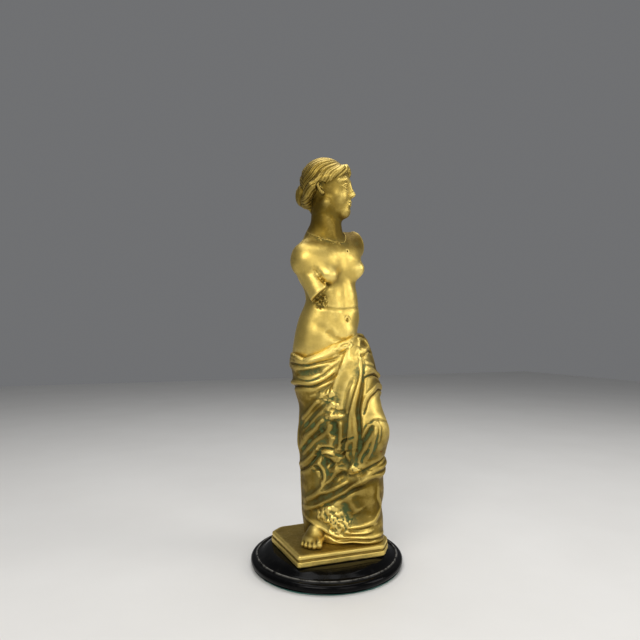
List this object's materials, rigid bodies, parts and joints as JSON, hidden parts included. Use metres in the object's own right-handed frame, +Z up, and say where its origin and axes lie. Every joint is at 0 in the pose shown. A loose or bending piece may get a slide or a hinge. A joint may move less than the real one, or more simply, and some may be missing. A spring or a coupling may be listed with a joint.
{
  "type": "bronze statuette",
  "caption": "Standing classical female figure with bare torso and wrapped drapery, cast metal, on a low plinth and a round turned base.",
  "frame": {"origin": "centre of the underside of the felt, on the axis of the round base", "axes": "+Z up, the figure faces -Y, her left is +X"},
  "size_m": [0.112, 0.112, 0.3003],
  "materials": {
    "bronze": "cast golden bronze, rubbed bright on the high places, brown patina and verdigris in the hollows",
    "plinth_bronze": "cast golden bronze, brown on the flat top, bright on the edges",
    "brass_pin": "drawn brass",
    "copper_plug": "tarnished copper",
    "steel": "plain steel",
    "black_lacquer": "polished black stone, worn along the edges",
    "green_felt": "teal green felt"
  },
  "bodies": {
    "root": {"head_casting": "bronze", "torso_casting": "bronze", "right_arm_casting": "bronze", "left_arm_casting": "bronze", "drapery_casting": "bronze", "plinth_casting": "plinth_bronze", "neck_dowel": "brass_pin", "right_arm_dowel": "brass_pin", "left_arm_dowel": "brass_pin", "waist_dowel_left": "brass_pin", "waist_dowel_right": "brass_pin", "rod_bridge": "brass_pin", "tie_rod": "steel", "rod_lock_nut": "steel", "base_washer": "steel", "base_nut": "steel", "plinth_pin_front": "steel", "plinth_pin_back": "steel", "core_plug_shin": "copper_plug", "core_plug_chest": "copper_plug", "base_disc": "black_lacquer", "felt_pad": "green_felt"}
  },
  "joints": []
}
